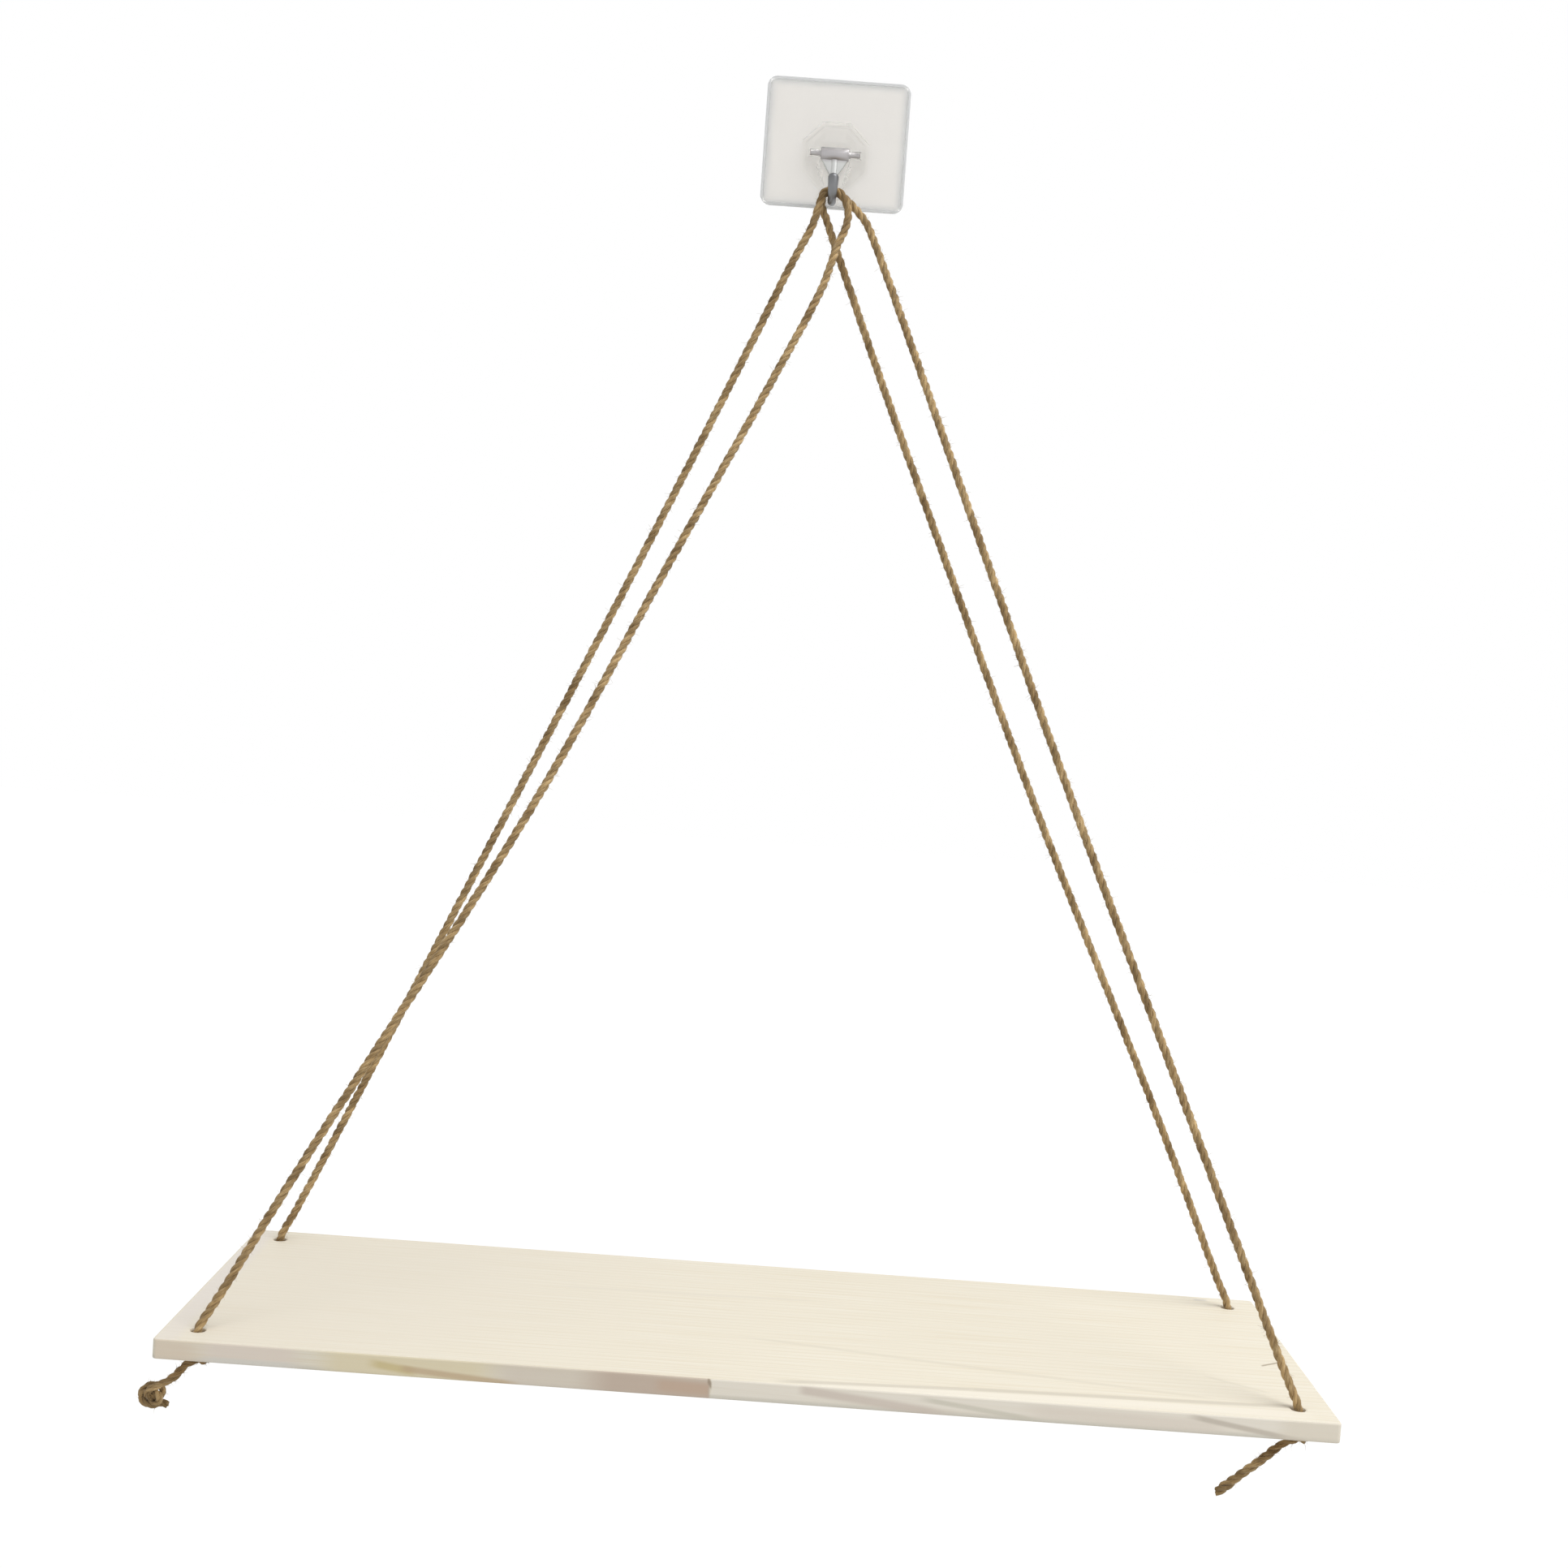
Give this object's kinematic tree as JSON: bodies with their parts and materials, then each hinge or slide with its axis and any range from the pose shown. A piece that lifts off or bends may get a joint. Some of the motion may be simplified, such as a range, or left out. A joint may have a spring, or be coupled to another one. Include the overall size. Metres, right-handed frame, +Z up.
{
  "type": "hanging rope shelf",
  "caption": "Pine board slung from crossed jute ropes on a hinged steel hook, held to the wall by a clear adhesive pad",
  "frame": {"origin": "centre of the adhesive film's back face, in the plane of the wall", "axes": "+X along the board to the right as seen from the room, +Y into the wall, +Z up"},
  "size_m": [0.407, 0.141, 0.5026],
  "materials": {
    "adhesive_gel": "soft clear adhesive gel, slightly hazy",
    "pad_plastic": "clear stamped PET sheet, smooth",
    "seat_plastic": "clear moulded polycarbonate, polished facets",
    "pin_steel": "plain bright steel",
    "hook_steel": "bright drawn stainless wire",
    "jute": "laid jute twine, dry and slightly hairy",
    "pine": "planed raw pine, unfinished"
  },
  "bodies": {
    "wall_plate": {"adhesive_film": "adhesive_gel", "pad_sheet": "pad_plastic", "hook_seat": "seat_plastic", "hinge_pin": "pin_steel"},
    "hook": {"hook": "hook_steel"},
    "shelf": {"left_rope": "jute", "right_rope": "jute", "shelf_board": "pine"}
  },
  "joints": [
    {"name": "hook_flip", "type": "hinge", "parent": "wall_plate", "child": "hook", "pos_m": [0, -0.0066, -0.005], "axis": [-1, 0, 0], "range_deg": [0, 35]},
    {"name": "shelf_swing", "type": "hinge", "parent": "hook", "child": "shelf", "pos_m": [0, -0.0136, -0.0246], "axis": [0, 1, 0], "range_deg": [-12, 12]}
  ]
}
